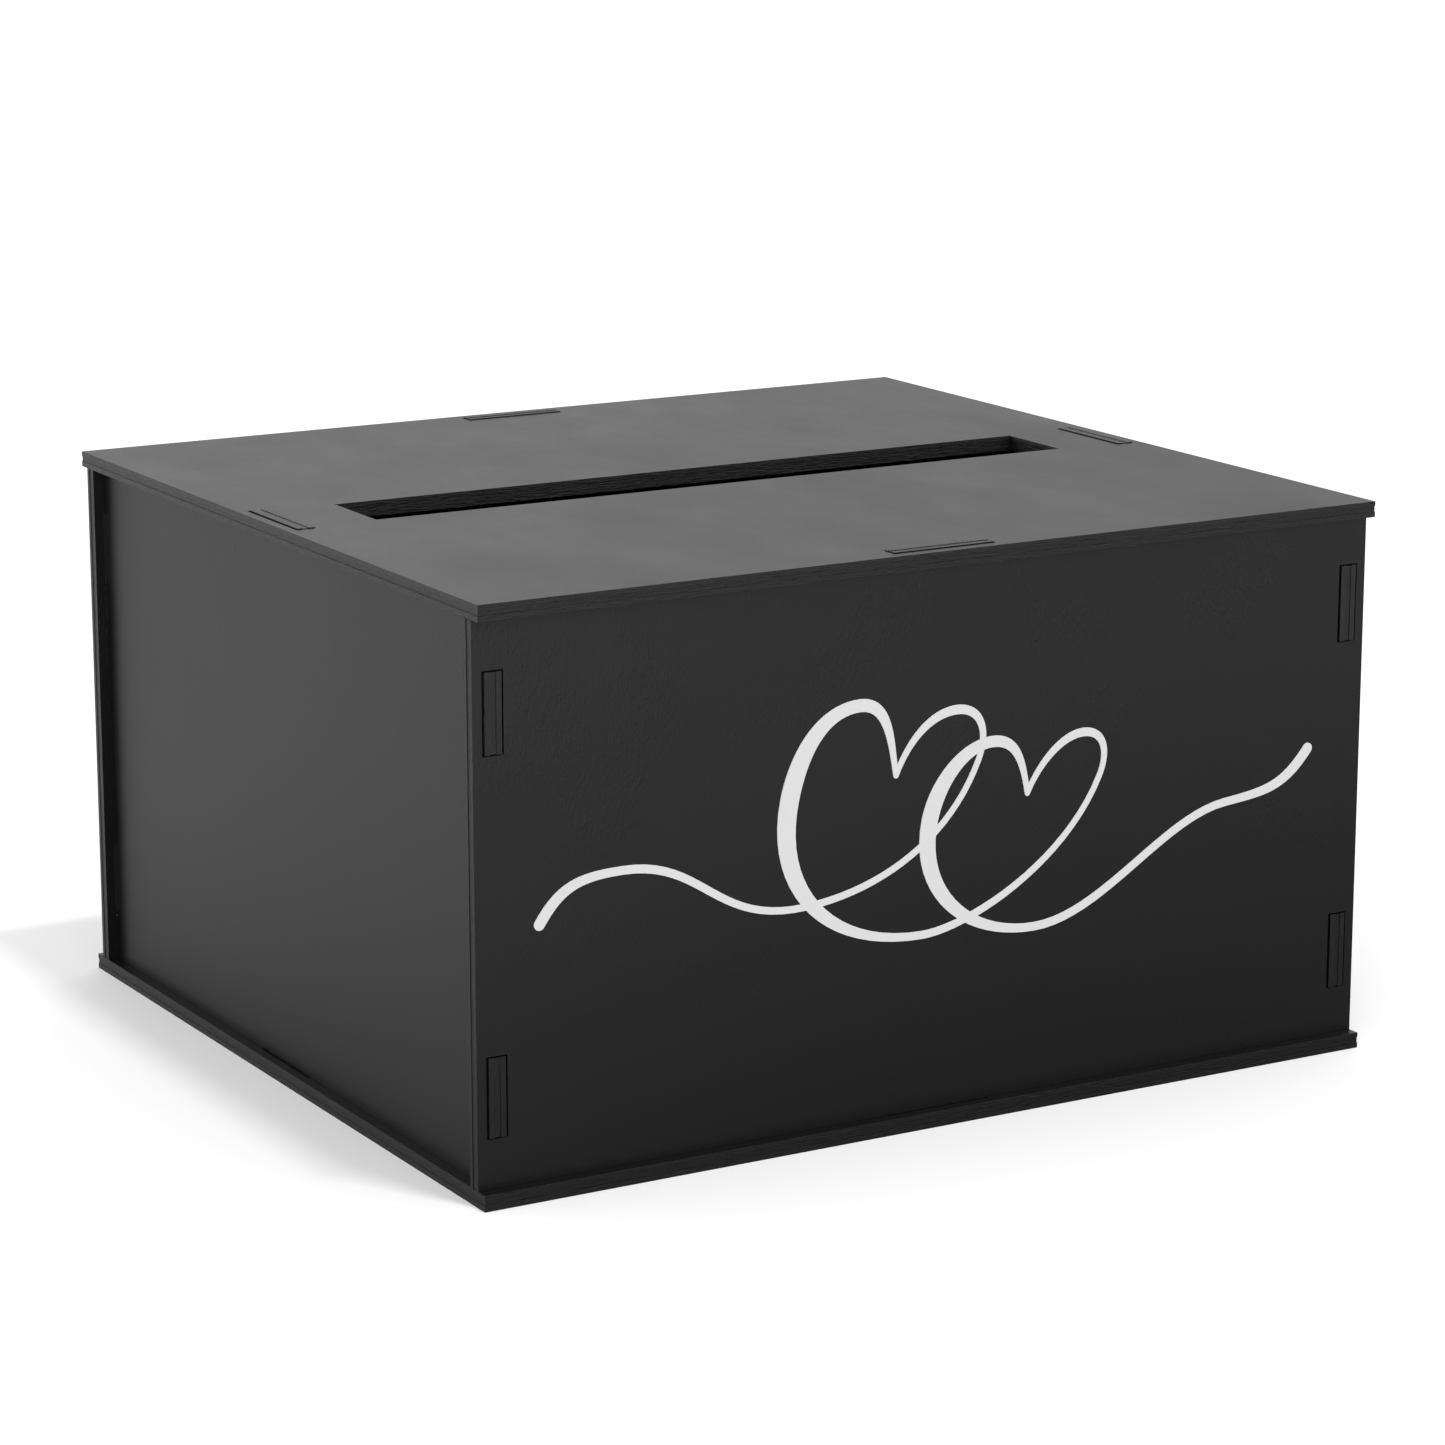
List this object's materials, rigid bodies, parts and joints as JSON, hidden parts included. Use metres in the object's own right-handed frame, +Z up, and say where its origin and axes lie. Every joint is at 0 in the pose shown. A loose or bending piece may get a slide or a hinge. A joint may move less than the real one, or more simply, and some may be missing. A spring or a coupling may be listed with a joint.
{
  "type": "wedding card box",
  "caption": "Rectangular slotted card box of black painted plywood boards joined by through tabs, with a lift-off lid and a white heart flourish.",
  "frame": {"origin": "centre of the underside of the base, on the surface that the box stands on", "axes": "+X along the front to the right, +Y from the front to the back, +Z up; the flourish is on the front, which faces -Y"},
  "size_m": [0.3, 0.274, 0.1703],
  "materials": {
    "black_plywood": "satin black paint on birch plywood, with a faint grain",
    "white_vinyl": "matt white adhesive vinyl"
  },
  "bodies": {
    "box": {"base_panel": "black_plywood", "front_wall": "black_plywood", "back_wall": "black_plywood", "left_side_wall": "black_plywood", "right_side_wall": "black_plywood", "front_flourish": "white_vinyl"},
    "lid": {"lid_panel": "black_plywood"}
  },
  "joints": [
    {"name": "lid_lift", "type": "slide", "parent": "box", "child": "lid", "axis": [0, 0, 1], "range_m": [0, 0.12]}
  ]
}
